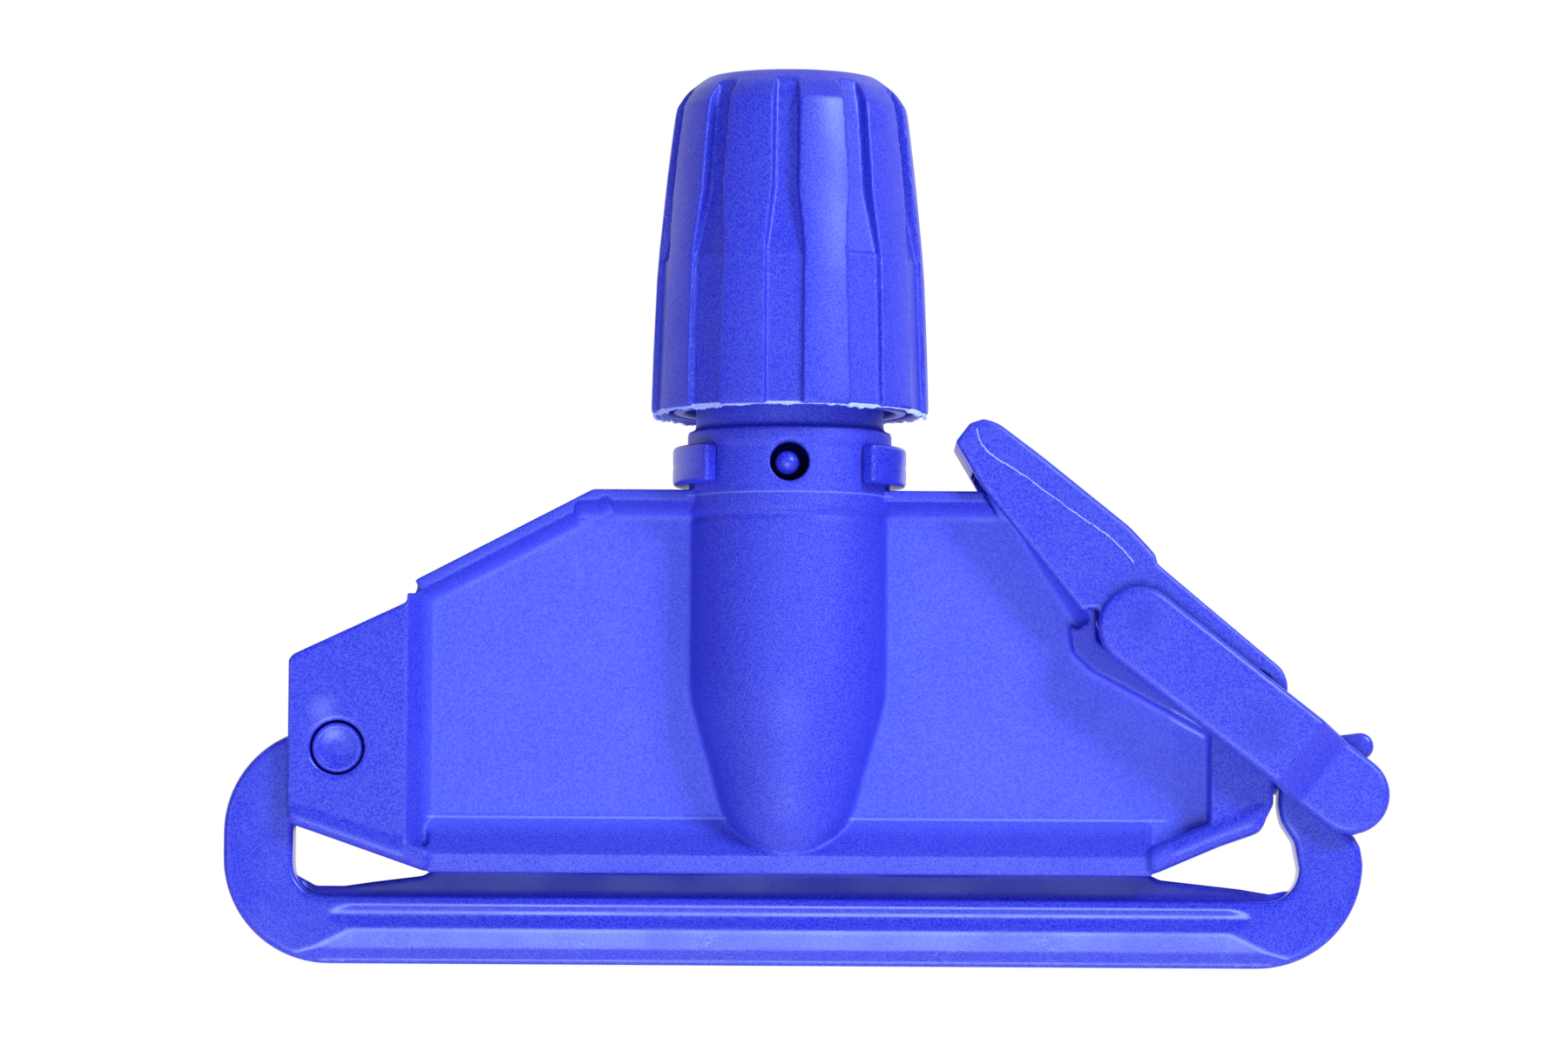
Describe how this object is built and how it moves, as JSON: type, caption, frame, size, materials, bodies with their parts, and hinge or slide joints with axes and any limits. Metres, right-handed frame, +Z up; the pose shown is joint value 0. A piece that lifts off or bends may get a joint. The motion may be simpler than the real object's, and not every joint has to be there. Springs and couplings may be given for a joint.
{
  "type": "strip mop clamp",
  "caption": "Moulded clamp for a strip mop: flat frame with a handle socket and screw-down grip nut, a swinging clamp bar, and an over-centre lever with a stirrup.",
  "frame": {"origin": "centre of the handle socket's mouth, at the top of the grip collar", "axes": "+Z up the handle's axis and out of the socket, +X along the clamp bar towards its hook, +Y to the back, where the locking clip is pulled off"},
  "size_m": [0.1873, 0.0444, 0.144],
  "materials": {
    "blue_plastic": "fine-grained moulded polypropylene, satin",
    "collar_plastic": "moulded polypropylene, satin",
    "clip_plastic": "smooth moulded polypropylene",
    "pin_plastic": "moulded acetal, satin"
  },
  "bodies": {
    "frame": {"frame_body": "blue_plastic", "bar_pivot_pin": "pin_plastic", "lever_pivot_pin": "pin_plastic"},
    "collet": {"split_collet": "pin_plastic"},
    "collar": {"grip_collar": "collar_plastic"},
    "clip": {"locking_clip": "clip_plastic"},
    "bar": {"clamp_bar": "blue_plastic"},
    "lever": {"clamp_lever": "blue_plastic", "link_pin": "pin_plastic"},
    "link": {"draw_link": "blue_plastic"}
  },
  "joints": [
    {"name": "collar_turn", "type": "hinge", "parent": "collet", "child": "collar", "pos_m": [0, 0, -0.04], "axis": [0, 0, 1], "range_deg": [-90.5, 720.5]},
    {"name": "collet_rise", "type": "slide", "parent": "frame", "child": "collet", "axis": [0, 0, 1], "range_m": [-0.001, 0.008]},
    {"name": "clip_pull", "type": "slide", "parent": "frame", "child": "clip", "axis": [0, 1, 0], "range_m": [0, 0.036], "deforming": ["locking_clip"]},
    {"name": "bar_swing", "type": "hinge", "parent": "frame", "child": "bar", "pos_m": [-0.0724, 0, -0.1094], "axis": [0, 1, 0], "range_deg": [0, 95]},
    {"name": "lever_open", "type": "hinge", "parent": "frame", "child": "lever", "pos_m": [0.0748, 0, -0.0991], "axis": [0, 1, 0], "range_deg": [0, 140]},
    {"name": "link_swing", "type": "hinge", "parent": "lever", "child": "link", "pos_m": [0.0561, 0, -0.0895], "axis": [0, 1, 0], "range_deg": [-90, 0]}
  ],
  "couplings": [
    {"joint": "link_swing", "follows": "lever_open", "ratio": -0.64},
    {"joint": "collar_turn", "follows": "collet_rise", "rad_per_m": 1570.8}
  ]
}
